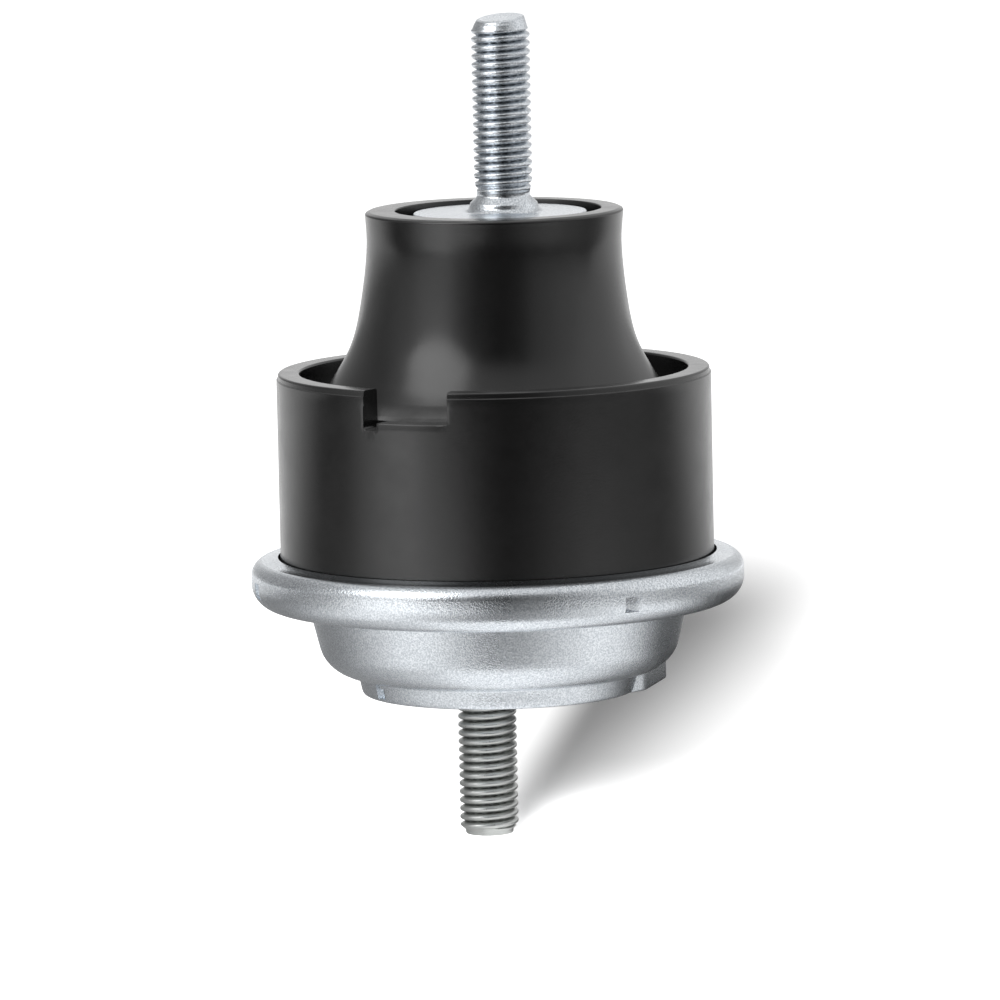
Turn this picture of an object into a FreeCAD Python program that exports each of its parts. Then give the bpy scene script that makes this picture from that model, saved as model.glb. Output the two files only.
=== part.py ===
import FreeCAD, Part
import math
import os

# Hydraulic engine mount. Sizes are in millimetres. The body axis is Z, and the underside of
# the pressed cup is Z = 0. The two studs stand beside the body axis, on opposite sides of it.
# Angles are counted from the front, which is -Y, towards +X.

# Both studs
THREAD_RADIUS = 6.0
NECK_UNDERCUT = 0.6
TIP_UNDERCUT = 0.8
SHANK_STEP = 0.5

# Upper stud, forged in one with its flared neck and disc
UPPER_STUD_SHIFT = 2.8
UPPER_STUD_LENGTH = 40.6
UPPER_TIP_LENGTH = 5.0
UPPER_TIP_ROUND = 1.8
UPPER_NECK_LENGTH = 1.9
FLARE_STEP = 1.1
FLARE_HEIGHT = 1.6
FLARE_FOOT = 0.9
FLARE_ROUND = 1.2
FLARE_FOOT_ROUND = 0.8
DISC_SHIFT = 2.0
DISC_RADIUS = 17.9
DISC_THICKNESS = 3.0
DISC_EDGE_ROUND = 0.4
UPPER_SHANK_LENGTH = 15.0

# Lower stud, with its head inside the cup
LOWER_STUD_SHIFT = -2.8
LOWER_STUD_LENGTH = 29.8
LOWER_TIP_LENGTH = 1.6
LOWER_TIP_ROUND = 0.4
LOWER_NECK_LENGTH = 2.0
LOWER_HEAD_RADIUS = 11.0
LOWER_HEAD_THICKNESS = 3.5
LOWER_HEAD_ROUND = 0.5

# Pressed steel cup: stepped base, drafted wall and the rim rolled over the clamped pieces
CUP_SHEET = 1.8
BASE_STEP_RADIUS = 29.3
BASE_STEP_HEIGHT = 4.1
BASE_TAPER = 0.95
BASE_EDGE_ROUND = 0.9
BASE_STEP_ROUND = 0.5
CUP_LEDGE = 0.53
CUP_CORNER_ROUND = 7.4
CUP_WALL_DRAFT = 14.1
CRIMP_BOTTOM = 18.55
CRIMP_REACH = 6.1
CRIMP_ROOT_ROUND = 1.0
CRIMP_LOWER_ROUND = 4.85
CRIMP_UPPER_ROUND = 3.0
LIP_GAP = 0.55
LIP_RISE = 1.1

# Locating lug pressed out of the base: where it starts on the base step, then its corners as
# angle and distance outside the step
LUG_START_ANGLE = 72.7
LUG_CORNERS = ((79.1, 1.35), (109.0, 7.5), (117.7, 5.1))
LUG_HEIGHT = 9.0
LUG_ROUND = 1.2

# Staking marks punched into the crimp, and one with a raised pad beside it on the base step
STAKE_DEPTH = 0.9
CRIMP_STAKE_ANGLES = (30.4, 157.0, -79.0)
CRIMP_STAKE_LENGTH = 8.0
CRIMP_STAKE_WIDTH = 3.2
BASE_STAKE_ANGLE = -59.5
BASE_STAKE_HEIGHT = 1.9
BASE_STAKE_LENGTH = 4.2
BASE_STAKE_WIDTH = 2.2
BASE_PAD_LENGTH = 3.4
BASE_PAD_PROUD = 0.45
BASE_PAD_BOTTOM = 0.6

# Pieces clamped in the crimp, from the bottom up
BEAD_HEIGHT = 1.7
BEAD_ROUND = 1.6
PLATE_RIM = 2.6
RING_SHEET = 1.8

# Rubber skirt, with the steel ring inside it
SKIRT_RADIUS = 44.75
SKIRT_WALL = 4.85
SKIRT_TOP = 66.9
RIM_BAND_HEIGHT = 1.3
RIM_BAND_STEP = 0.25
RIM_ROUND = 0.35
RING_COVER = 2.15
RING_BEND = 1.5
RING_TOP_COVER = 5.2
INNER_COVER = 1.5

# Groove between skirt and cone, and the notch with its relief slot
GROOVE_DEPTH = 7.0
GROOVE_RISE = 1.4
GROOVE_BOTTOM_WIDTH = 3.6
GROOVE_ROUND = 0.8
NOTCH_LEFT_ANGLE = -36.3
NOTCH_RIGHT_ANGLE = -12.2
NOTCH_DEPTH = 6.5
NOTCH_ROUND = 1.0
RELIEF_WIDTH = 3.0
RELIEF_DEPTH = 1.55

# Cone and collar: each section of the cone is a share of its height, and the share of the
# swell of its foot that is left there
CONE_HEIGHT = 33.0
CONE_SECTIONS = ((0.0, 1.0), (0.117, 0.66), (0.296, 0.285), (0.513, 0.088), (0.806, -0.038))
COLLAR_SHIFT = 0.8
COLLAR_WALL = 5.6
COLLAR_ROUND = 1.1
RECESS_SHIFT = 1.6
RECESS_GAP = 3.1
RECESS_DEPTH = 0.6

# Inner core and the fluid cavity below it
CORE_INSET = 0.4
CORE_EDGE_HEIGHT = 4.0
CORE_LENGTH = 33.7
CORE_BOTTOM_RADIUS = 12.0
CORE_BOTTOM_ROUND = 4.0
CORE_TOP_ROUND = 1.0
BORE_END_GAP = 1.0
CAVITY_ROOF_RADIUS = 9.0
CAVITY_ROOF_COVER = 5.0
CAVITY_WALL_HEIGHT = 11.7
CAVITY_ROUND = 5.0

# Channel plates and decoupler
PLATE_CROWN = 1.25
PLATE_GAP = 0.5
NEST_INSET = 5.8
NEST_RIM = 1.1
CHANNEL_GAP = 0.8
CHANNEL_WALL = 2.0
CHANNEL_WIDTH = 8.0
CHANNEL_DEPTH = 5.6
CHANNEL_FLOOR = 1.6
CHANNEL_DAM_ANGLE = 30.0
PORT_RADIUS = 2.8
PORT_ANGLE = 9.0
DECOUPLER_RADIUS = 17.0
DECOUPLER_THICKNESS = 2.2
DECOUPLER_GAP = 0.25
DECOUPLER_ROUND = 0.5
GRILLE_HOLES = 8
GRILLE_HOLE_RADIUS = 2.6
GRILLE_CIRCLE = 11.0
GRILLE_CENTRE_RADIUS = 3.4
GRILLE_FLOOR = 2.0

# Rolling bellows
BELLOWS_WALL = 1.6
BELLOWS_GAP = 0.55
BELLOWS_FLOOR_GAP = 2.1
BELLOWS_RISE = 3.2
BELLOWS_CENTRE_RADIUS = 14.0
BELLOWS_RAMP = 5.0
BELLOWS_ROLL_ROUND = 5.0
BELLOWS_CENTRE_ROUND = 3.0
BELLOWS_SHOULDER_ROUND = 1.0

# Radii that follow from the sizes above
NECK_RADIUS = THREAD_RADIUS - NECK_UNDERCUT
TIP_RADIUS = THREAD_RADIUS - TIP_UNDERCUT
SHANK_RADIUS = THREAD_RADIUS + SHANK_STEP
FLARE_RADIUS = THREAD_RADIUS + FLARE_STEP
CORE_RADIUS = DISC_RADIUS - CORE_INSET
RECESS_RADIUS = DISC_RADIUS + RECESS_GAP
COLLAR_RADIUS = RECESS_RADIUS + COLLAR_WALL
GROOVE_RADIUS = SKIRT_RADIUS - SKIRT_WALL
CONE_FOOT_RADIUS = GROOVE_RADIUS - GROOVE_BOTTOM_WIDTH
RING_RADIUS = SKIRT_RADIUS - RING_COVER
CAVITY_RADIUS = RING_RADIUS - RING_SHEET - INNER_COVER
CRIMP_RADIUS = SKIRT_RADIUS + CRIMP_REACH
STACK_RADIUS = CRIMP_RADIUS - CRIMP_LOWER_ROUND + BEAD_ROUND
NEST_RADIUS = STACK_RADIUS - NEST_INSET
WALL_SLOPE = math.tan(math.radians(CUP_WALL_DRAFT))
CORNER_REACH = CUP_CORNER_ROUND * math.tan(math.radians(45 - CUP_WALL_DRAFT / 2))
CUP_BOTTOM_RADIUS = BASE_STEP_RADIUS + CUP_LEDGE + CORNER_REACH
BELLOWS_ROLL_RISE = CUP_SHEET + BELLOWS_FLOOR_GAP + BELLOWS_ROLL_ROUND
INNER_WALL_RADIUS = CUP_BOTTOM_RADIUS - CUP_SHEET * math.hypot(1, WALL_SLOPE)
BELLOWS_RADIUS = INNER_WALL_RADIUS + BELLOWS_ROLL_RISE * WALL_SLOPE - BELLOWS_GAP
CHANNEL_BODY_RADIUS = BELLOWS_RADIUS - BELLOWS_WALL - CHANNEL_GAP
LIP_SLOPE = LIP_RISE / (CRIMP_REACH - LIP_GAP)
LIP_DROP = LIP_SLOPE * (CRIMP_RADIUS - STACK_RADIUS)

# Heights that follow from the sizes above
BEAD_BOTTOM = CRIMP_BOTTOM + CUP_SHEET
PLATE_BOTTOM = BEAD_BOTTOM + BEAD_HEIGHT
RING_BOTTOM = PLATE_BOTTOM + PLATE_RIM
FLANGE_TOP = RING_BOTTOM + RING_SHEET
CRIMP_TOP = FLANGE_TOP + CUP_SHEET * math.hypot(1, LIP_SLOPE) - LIP_DROP
GROOVE_OUTER_HEIGHT = SKIRT_TOP - GROOVE_DEPTH
GROOVE_INNER_HEIGHT = GROOVE_OUTER_HEIGHT + GROOVE_RISE
RING_TOP = GROOVE_OUTER_HEIGHT - RING_TOP_COVER
COLLAR_TOP = SKIRT_TOP + CONE_HEIGHT
DISC_TOP = COLLAR_TOP - RECESS_DEPTH
CORE_TOP = DISC_TOP - DISC_THICKNESS
CORE_BOTTOM = CORE_TOP - CORE_LENGTH
UP = FreeCAD.Vector(0, 0, 1)
BODY_AXIS = FreeCAD.Vector(0, 0, 0)


def section_point(corner):
    """A point of a section, given as radius and height."""
    return FreeCAD.Vector(corner[0], 0, corner[1])


def around(angle, radius, height=0.0):
    """Point at an angle from the front, counted towards +X."""
    turn = math.radians(angle)
    return FreeCAD.Vector(radius * math.sin(turn), -radius * math.cos(turn), height)


def rounded_path(corners):
    """Edges through corners (radius, height, round), where a round above zero is an arc."""
    edges = []
    last = section_point(corners[0])
    for before, corner, after in zip(corners, corners[1:], corners[2:]):
        here = section_point(corner)
        radius = corner[2]
        if radius <= 0:
            edges.append(Part.LineSegment(last, here).toShape())
            last = here
            continue
        back = (section_point(before) - here).normalize()
        ahead = (section_point(after) - here).normalize()
        half = back.getAngle(ahead) / 2
        reach = radius / math.tan(half)
        middle = (back + ahead).normalize() * (radius / math.sin(half) - radius)
        start = here + back * reach
        end = here + ahead * reach
        edges.append(Part.LineSegment(last, start).toShape())
        edges.append(Part.Arc(start, here + middle, end).toShape())
        last = end
    edges.append(Part.LineSegment(last, section_point(corners[-1])).toShape())
    return edges


def turned(corners, shift=0.0):
    """Solid turned about the vertical line at x = shift from a closed section."""
    closed = list(corners) + [corners[0]]
    face = Part.Face(Part.Wire(rounded_path(closed)))
    return face.revolve(BODY_AXIS, UP, 360).translated(FreeCAD.Vector(shift, 0, 0))


def inset(corners, thickness):
    """The open path of corners, moved to its left by a sheet thickness, with its rounds fitted."""
    points = [section_point(corner) for corner in corners]
    steps = [after - before for before, after in zip(points, points[1:])]
    moved = []
    for index, corner in enumerate(corners):
        step_in = steps[max(index - 1, 0)]
        step_out = steps[min(index, len(steps) - 1)]
        left_in = FreeCAD.Vector(-step_in.z, 0, step_in.x).normalize()
        left_out = FreeCAD.Vector(-step_out.z, 0, step_out.x).normalize()
        miter = (left_in + left_out) * (thickness / (1 + left_in.dot(left_out)))
        turns_left = step_in.x * step_out.z > step_in.z * step_out.x
        fitted = corner[2] - thickness if turns_left else corner[2] + thickness
        if corner[2] == 0:
            fitted = 0
        moved.append((corner[0] + miter.x, corner[1] + miter.z, fitted))
    return moved


def cylinder(radius, bottom, top, x=0.0, y=0.0):
    """Upright cylinder between two heights."""
    return Part.makeCylinder(radius, top - bottom, FreeCAD.Vector(x, y, bottom))


def prism(plan, bottom, top):
    """Upright prism on a closed plan of points."""
    lifted = [FreeCAD.Vector(point.x, point.y, bottom) for point in plan]
    return Part.Face(Part.makePolygon(lifted + [lifted[0]])).extrude(UP * (top - bottom))


def stud_end(neck_end, tip, tip_length, tip_round):
    """Outside of a stud above its neck: run-out, threaded length and reduced round tip."""
    thread_end = tip - tip_length
    return [
        (NECK_RADIUS, neck_end, 0),
        (THREAD_RADIUS, neck_end + NECK_UNDERCUT, 0),
        (THREAD_RADIUS, thread_end - TIP_UNDERCUT, 0),
        (TIP_RADIUS, thread_end, 0),
        (TIP_RADIUS, tip, tip_round),
        (0, tip, 0),
    ]


def upper_stud():
    """Cold-forged stud with a flared neck and a round disc, and a shank below the disc."""
    shank_end = CORE_TOP - UPPER_SHANK_LENGTH
    flare_foot = FLARE_RADIUS + 2 * FLARE_FOOT_ROUND
    flare_top = DISC_TOP + FLARE_FOOT + FLARE_HEIGHT
    neck_end = flare_top + UPPER_NECK_LENGTH
    tip = DISC_TOP + UPPER_STUD_LENGTH
    rod = [
        (0, shank_end, 0),
        (SHANK_RADIUS, shank_end, 0),
        (SHANK_RADIUS, CORE_TOP, 0),
        (flare_foot, CORE_TOP, 0),
        (flare_foot, DISC_TOP, 0),
        (FLARE_RADIUS, DISC_TOP, FLARE_FOOT_ROUND),
        (FLARE_RADIUS, DISC_TOP + FLARE_FOOT, 0),
        (NECK_RADIUS, flare_top, FLARE_ROUND),
    ]
    rod += stud_end(neck_end, tip, UPPER_TIP_LENGTH, UPPER_TIP_ROUND)
    disc = [
        (0, CORE_TOP, 0),
        (DISC_RADIUS, CORE_TOP, 0),
        (DISC_RADIUS, DISC_TOP, DISC_EDGE_ROUND),
        (0, DISC_TOP, 0),
    ]
    return turned(rod, UPPER_STUD_SHIFT).fuse(turned(disc, DISC_SHIFT)).removeSplitter()


def lower_stud():
    """Stud through the cup's base, with a flat round head welded inside the cup."""
    head_top = CUP_SHEET + LOWER_HEAD_THICKNESS
    section = [
        (0, head_top, 0),
        (LOWER_HEAD_RADIUS, head_top, LOWER_HEAD_ROUND),
        (LOWER_HEAD_RADIUS, CUP_SHEET, 0),
        (SHANK_RADIUS, CUP_SHEET, 0),
        (SHANK_RADIUS, 0, 0),
        (NECK_RADIUS, 0, 0),
    ]
    end = stud_end(LOWER_NECK_LENGTH, LOWER_STUD_LENGTH, LOWER_TIP_LENGTH, LOWER_TIP_ROUND)
    for radius, depth, fit in end:
        section.append((radius, -depth, fit))
    return turned(section, LOWER_STUD_SHIFT)


def core_blank():
    """Tapered metal core before it is bored."""
    section = [
        (0, CORE_BOTTOM, 0),
        (CORE_BOTTOM_RADIUS, CORE_BOTTOM, CORE_BOTTOM_ROUND),
        (CORE_RADIUS, CORE_TOP - CORE_EDGE_HEIGHT, 0),
        (CORE_RADIUS, CORE_TOP, CORE_TOP_ROUND),
        (0, CORE_TOP, 0),
    ]
    return turned(section, DISC_SHIFT)


def inner_core():
    """Metal core inside the cone, bored for the shank of the upper stud."""
    bore_end = CORE_TOP - UPPER_SHANK_LENGTH - BORE_END_GAP
    return core_blank().cut(cylinder(SHANK_RADIUS, bore_end, CORE_TOP, UPPER_STUD_SHIFT))


def outer_ring():
    """Steel ring bonded inside the skirt, with a flange that the crimp holds."""
    inner = RING_RADIUS - RING_SHEET
    section = [
        (inner, RING_TOP, 0),
        (inner, RING_BOTTOM, RING_BEND + RING_SHEET),
        (STACK_RADIUS, RING_BOTTOM, 0),
        (STACK_RADIUS, FLANGE_TOP, 0),
        (RING_RADIUS, FLANGE_TOP, RING_BEND),
        (RING_RADIUS, RING_TOP, 0),
    ]
    return turned(section)


def cone():
    """Rubber cone and collar, lofted through circles that lean towards the upper stud."""
    foot = GROOVE_INNER_HEIGHT
    swell = CONE_FOOT_RADIUS - COLLAR_RADIUS
    circles = []
    for share, swell_left in CONE_SECTIONS + ((1.0, 0.0),):
        centre = FreeCAD.Vector(COLLAR_SHIFT * share, 0, foot + (COLLAR_TOP - foot) * share)
        circle = Part.makeCircle(COLLAR_RADIUS + swell * swell_left, centre, UP)
        circles.append(Part.Wire(circle))
    body = Part.makeLoft(circles, True)
    rim = [edge for edge in body.Edges if edge.BoundBox.ZMin > COLLAR_TOP - 0.01]
    return body.makeFillet(COLLAR_ROUND, rim)


def skirt():
    """Rubber up to the groove: skirt wall with its rim band, spring leg and fluid cavity."""
    band_radius = SKIRT_RADIUS - RIM_BAND_STEP
    band_bottom = SKIRT_TOP - RIM_BAND_HEIGHT
    roof = CORE_BOTTOM - CAVITY_ROOF_COVER
    section = [
        (0, roof, 0),
        (CAVITY_ROOF_RADIUS, roof, CAVITY_ROUND),
        (CAVITY_RADIUS, RING_BOTTOM + CAVITY_WALL_HEIGHT, CAVITY_ROUND),
        (CAVITY_RADIUS, RING_BOTTOM, 0),
        (RING_RADIUS + RING_BEND, RING_BOTTOM, 0),
        (SKIRT_RADIUS, FLANGE_TOP, 0),
        (SKIRT_RADIUS, band_bottom, 0),
        (band_radius, band_bottom, 0),
        (band_radius, SKIRT_TOP, RIM_ROUND),
        (GROOVE_RADIUS, SKIRT_TOP, RIM_ROUND),
        (GROOVE_RADIUS, GROOVE_OUTER_HEIGHT, GROOVE_ROUND),
        (CONE_FOOT_RADIUS, GROOVE_INNER_HEIGHT, 0),
        (0, GROOVE_INNER_HEIGHT, 0),
    ]
    return turned(section)


def wall_gap(left_angle, right_angle, floor):
    """Gap through the skirt wall between two radial sides, open at the top."""
    inner = GROOVE_RADIUS - 1
    outer = SKIRT_RADIUS + 2
    plan = [around(left_angle, inner), around(left_angle, outer)]
    plan += [around(right_angle, outer), around(right_angle, inner)]
    gap = prism(plan, floor, SKIRT_TOP + 1)
    lower_corners = []
    for edge in gap.Edges:
        is_radial = abs(edge.Length - (outer - inner)) < 0.01
        if is_radial and edge.BoundBox.ZMax < floor + 0.01:
            lower_corners.append(edge)
    return gap.makeFillet(NOTCH_ROUND, lower_corners)


def rubber_spring():
    """One rubber moulding around the core and the ring, with the notch cut in its skirt."""
    notch_floor = SKIRT_TOP - NOTCH_DEPTH
    relief_end = NOTCH_LEFT_ANGLE + math.degrees(RELIEF_WIDTH / SKIRT_RADIUS)
    notch = wall_gap(NOTCH_LEFT_ANGLE, NOTCH_RIGHT_ANGLE, notch_floor)
    relief = wall_gap(NOTCH_LEFT_ANGLE, relief_end, notch_floor - RELIEF_DEPTH)
    recess = cylinder(RECESS_RADIUS, CORE_TOP, COLLAR_TOP + 1, RECESS_SHIFT)
    moulding = skirt().cut([notch, relief]).fuse(cone())
    return moulding.cut([recess, outer_ring(), core_blank()]).removeSplitter()


def stake(angle, radius, height, length, width):
    """Wedge punched into a round wall: deep at its left end and running out to the right."""
    outside = radius + 2
    end = angle + math.degrees(length / radius)
    plan = [around(angle, radius - STAKE_DEPTH), around(angle, outside)]
    plan += [around(end, outside), around(end, radius)]
    return prism(plan, height - width / 2, height + width / 2)


def lug(border):
    """Prism of the locating lug, with its sides and its floor moved in by a border."""
    corners = [around(angle, BASE_STEP_RADIUS + out) for angle, out in LUG_CORNERS]
    start = around(LUG_START_ANGLE, BASE_STEP_RADIUS - BASE_TAPER)
    plan = [start] + corners + [FreeCAD.Vector(0, corners[-1].y, 0), FreeCAD.Vector(0, start.y, 0)]
    body = prism(plan, 0, LUG_HEIGHT)
    upright = []
    for edge in body.Edges:
        box = edge.BoundBox
        if box.ZLength > LUG_HEIGHT - 0.01 and box.XMin > start.x + 0.01:
            upright.append(edge)
    body = body.makeFillet(LUG_ROUND, upright)
    if border == 0:
        return body
    floor = [face for face in body.Faces if face.BoundBox.ZMax < 0.01][0]
    outline = floor.OuterWire.makeOffset2D(-border)
    return Part.Face(outline).translated(UP * border).extrude(UP * (LUG_HEIGHT - border))


def base_pad():
    """Small raised pad on the base step, to the left of its staking mark."""
    radius = BASE_STEP_RADIUS + BASE_PAD_PROUD
    start = BASE_STAKE_ANGLE - math.degrees(BASE_PAD_LENGTH / radius)
    inside = radius - 2 * CUP_SHEET
    plan = [around(start, inside), around(start, radius)]
    plan += [around(BASE_STAKE_ANGLE, radius), around(BASE_STAKE_ANGLE, inside)]
    return prism(plan, BASE_PAD_BOTTOM, BASE_STEP_HEIGHT)


def lower_cup():
    """Drawn cup, with the lug, the pad and the staking marks pressed into its sheet."""
    wall_top = CUP_BOTTOM_RADIUS + (CRIMP_BOTTOM - BASE_STEP_HEIGHT) * WALL_SLOPE
    lip_radius = SKIRT_RADIUS + LIP_GAP
    lip_top = CRIMP_TOP + LIP_RISE
    outline = [
        (0, 0, 0),
        (BASE_STEP_RADIUS - BASE_TAPER, 0, BASE_EDGE_ROUND),
        (BASE_STEP_RADIUS, BASE_STEP_HEIGHT, BASE_STEP_ROUND),
        (CUP_BOTTOM_RADIUS, BASE_STEP_HEIGHT, CUP_CORNER_ROUND),
        (wall_top, CRIMP_BOTTOM, CRIMP_ROOT_ROUND),
        (CRIMP_RADIUS, CRIMP_BOTTOM, CRIMP_LOWER_ROUND),
        (CRIMP_RADIUS, CRIMP_TOP, CRIMP_UPPER_ROUND),
        (lip_radius, lip_top, 0),
    ]
    inside = inset(outline, CUP_SHEET)
    mouth = [(lip_radius, lip_top, 0), (lip_radius, lip_top + 1, 0), (0, lip_top + 1, 0)]
    stake_height = (CRIMP_BOTTOM + CRIMP_TOP) / 2
    base_mark = stake(
        BASE_STAKE_ANGLE, BASE_STEP_RADIUS, BASE_STAKE_HEIGHT, BASE_STAKE_LENGTH, BASE_STAKE_WIDTH
    )
    marks = [base_mark]
    for angle in CRIMP_STAKE_ANGLES:
        marks.append(
            stake(angle, CRIMP_RADIUS, stake_height, CRIMP_STAKE_LENGTH, CRIMP_STAKE_WIDTH)
        )
    stud_hole = cylinder(SHANK_RADIUS, -1, CUP_SHEET + 1, LOWER_STUD_SHIFT)
    pressing = turned(outline + [(0, lip_top, 0)]).fuse([lug(0), base_pad()])
    return pressing.cut(marks + [turned(inside + mouth), lug(CUP_SHEET), stud_hole]).removeSplitter()


def grille(bottom, top):
    """Round holes of a grille, one in the middle and a ring of them, as solids to cut away."""
    holes = [cylinder(GRILLE_CENTRE_RADIUS, bottom, top)]
    for number in range(GRILLE_HOLES):
        centre = around(360 / GRILLE_HOLES * number, GRILLE_CIRCLE)
        holes.append(cylinder(GRILLE_HOLE_RADIUS, bottom, top, centre.x, centre.y))
    return holes


def channel_port(side, bottom, top):
    """Port of the channel beside its dam, on the left (-1) or on the right (+1)."""
    middle = CHANNEL_BODY_RADIUS - CHANNEL_WALL - CHANNEL_WIDTH / 2
    centre = around(side * (CHANNEL_DAM_ANGLE / 2 + PORT_ANGLE), middle)
    return cylinder(PORT_RADIUS, bottom, top, centre.x, centre.y)


def upper_channel_plate():
    """Cast plate that closes the channel and carries the upper grille."""
    seat = PLATE_BOTTOM + NEST_RIM
    crown = RING_BOTTOM + PLATE_CROWN
    crown_radius = CAVITY_RADIUS - PLATE_GAP
    section = [
        (0, seat, 0),
        (NEST_RADIUS, seat, 0),
        (NEST_RADIUS, PLATE_BOTTOM, 0),
        (STACK_RADIUS, PLATE_BOTTOM, 0),
        (STACK_RADIUS, RING_BOTTOM, 0),
        (crown_radius, RING_BOTTOM, 0),
        (crown_radius, crown, PLATE_GAP),
        (0, crown, 0),
    ]
    return turned(section).cut(grille(seat, crown) + [channel_port(-1, seat, crown)])


def lower_channel_plate():
    """Cast plate with the long round channel, its dam, and the pocket of the decoupler."""
    top = PLATE_BOTTOM + NEST_RIM
    floor = top - CHANNEL_DEPTH
    bottom = floor - CHANNEL_FLOOR
    outer = CHANNEL_BODY_RADIUS - CHANNEL_WALL
    inner = outer - CHANNEL_WIDTH
    pocket_radius = DECOUPLER_RADIUS + DECOUPLER_GAP
    pocket_floor = top - DECOUPLER_THICKNESS - 2 * DECOUPLER_GAP
    pocket_underside = pocket_floor - GRILLE_FLOOR
    section = [
        (0, pocket_underside, 0),
        (inner - CHANNEL_WALL, pocket_underside, 0),
        (inner - CHANNEL_WALL, bottom, 0),
        (CHANNEL_BODY_RADIUS, bottom, CHANNEL_GAP),
        (CHANNEL_BODY_RADIUS, PLATE_BOTTOM, 0),
        (NEST_RADIUS, PLATE_BOTTOM, 0),
        (NEST_RADIUS, top, 0),
        (pocket_radius, top, 0),
        (pocket_radius, pocket_floor, 0),
        (0, pocket_floor, 0),
    ]
    sides = [(inner, floor), (outer, floor), (outer, top), (inner, top)]
    corners = [section_point(side) for side in sides]
    track = Part.Face(Part.makePolygon(corners + [corners[0]]))
    track.rotate(BODY_AXIS, UP, CHANNEL_DAM_ANGLE / 2 - 90)
    track = track.revolve(BODY_AXIS, UP, 360 - CHANNEL_DAM_ANGLE)
    openings = grille(pocket_underside, pocket_floor) + [channel_port(1, bottom, floor)]
    return turned(section).cut([track] + openings)


def decoupler():
    """Loose rubber disc between the two grilles."""
    top = PLATE_BOTTOM + NEST_RIM - DECOUPLER_GAP
    bottom = top - DECOUPLER_THICKNESS
    section = [
        (0, bottom, 0),
        (DECOUPLER_RADIUS, bottom, DECOUPLER_ROUND),
        (DECOUPLER_RADIUS, top, DECOUPLER_ROUND),
        (0, top, 0),
    ]
    return turned(section)


def bellows():
    """Thin rubber bellows below the channel plates, with the bead that the crimp squeezes."""
    bottom = BASE_STEP_HEIGHT + CUP_SHEET + BELLOWS_FLOOR_GAP
    centre = bottom + BELLOWS_RISE
    underside = [
        (0, centre, 0),
        (BELLOWS_CENTRE_RADIUS, centre, BELLOWS_CENTRE_ROUND),
        (BELLOWS_CENTRE_RADIUS + BELLOWS_RAMP, bottom, BELLOWS_CENTRE_ROUND),
        (BELLOWS_RADIUS, bottom, BELLOWS_ROLL_ROUND),
        (BELLOWS_RADIUS, BEAD_BOTTOM, BELLOWS_SHOULDER_ROUND),
        (STACK_RADIUS, BEAD_BOTTOM, 0),
    ]
    topside = inset(underside, BELLOWS_WALL)[:-2]
    shoulder_radius = BELLOWS_RADIUS - BELLOWS_WALL
    topside.append((shoulder_radius, PLATE_BOTTOM, BELLOWS_SHOULDER_ROUND))
    underside[-1] = (STACK_RADIUS, BEAD_BOTTOM, BEAD_ROUND)
    return turned(underside + [(STACK_RADIUS, PLATE_BOTTOM, 0)] + topside[::-1])


PIECES = (
    upper_stud,
    inner_core,
    rubber_spring,
    outer_ring,
    upper_channel_plate,
    decoupler,
    lower_channel_plate,
    bellows,
    lower_cup,
    lower_stud,
)

os.makedirs("parts", exist_ok=True)
for make_piece in PIECES:
    make_piece().exportStep("parts/" + make_piece.__name__ + ".step")
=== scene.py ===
import math

import bmesh
import bpy
from mathutils import Matrix, Vector


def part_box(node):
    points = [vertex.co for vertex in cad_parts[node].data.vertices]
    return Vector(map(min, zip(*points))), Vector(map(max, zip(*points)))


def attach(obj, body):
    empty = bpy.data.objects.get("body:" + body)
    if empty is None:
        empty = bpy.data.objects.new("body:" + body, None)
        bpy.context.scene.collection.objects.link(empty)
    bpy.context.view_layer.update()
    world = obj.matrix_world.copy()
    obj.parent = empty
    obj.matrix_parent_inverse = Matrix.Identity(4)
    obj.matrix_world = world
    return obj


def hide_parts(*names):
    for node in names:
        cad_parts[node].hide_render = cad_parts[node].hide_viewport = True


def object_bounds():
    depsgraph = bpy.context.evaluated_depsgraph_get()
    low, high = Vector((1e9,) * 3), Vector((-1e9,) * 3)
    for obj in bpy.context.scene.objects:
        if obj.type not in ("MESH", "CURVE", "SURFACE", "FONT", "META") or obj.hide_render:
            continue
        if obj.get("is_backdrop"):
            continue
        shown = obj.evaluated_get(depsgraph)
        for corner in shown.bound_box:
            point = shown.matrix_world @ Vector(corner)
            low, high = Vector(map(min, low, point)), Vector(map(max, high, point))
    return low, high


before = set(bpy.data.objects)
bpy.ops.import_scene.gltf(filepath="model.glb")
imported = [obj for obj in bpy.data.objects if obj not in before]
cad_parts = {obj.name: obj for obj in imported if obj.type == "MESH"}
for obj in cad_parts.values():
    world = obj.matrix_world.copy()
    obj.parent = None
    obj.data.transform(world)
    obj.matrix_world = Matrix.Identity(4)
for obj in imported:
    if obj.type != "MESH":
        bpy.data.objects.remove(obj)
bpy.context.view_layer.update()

bl_info = {
    "name": "Hydraulic engine mount",
    "version": (1, 0, 0),
    "blender": (4, 5, 0),
    "location": "3D View > Sidebar > Engine Mount",
    "description": "Dresses the packed engine mount and sets up its studio",
    "category": "Object",
}

MM = 0.001
BODY = "root"
# staking marks round the rim, as angles from the front towards +X in degrees
RIM_STAKES = (30.4, 157.0, -79.0)
# corners of the locating lug, as angle from the front and distance outside the base step
LUG_CORNERS = ((79.1, 1.35), (109.0, 7.5), (117.7, 5.1))
# radius of the cone at shares of its height
CONE_SHAPE = ((0.0, 36.3), (0.117, 33.0), (0.296, 29.36), (0.513, 27.45), (0.806, 26.23), (1.0, 26.6))
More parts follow.
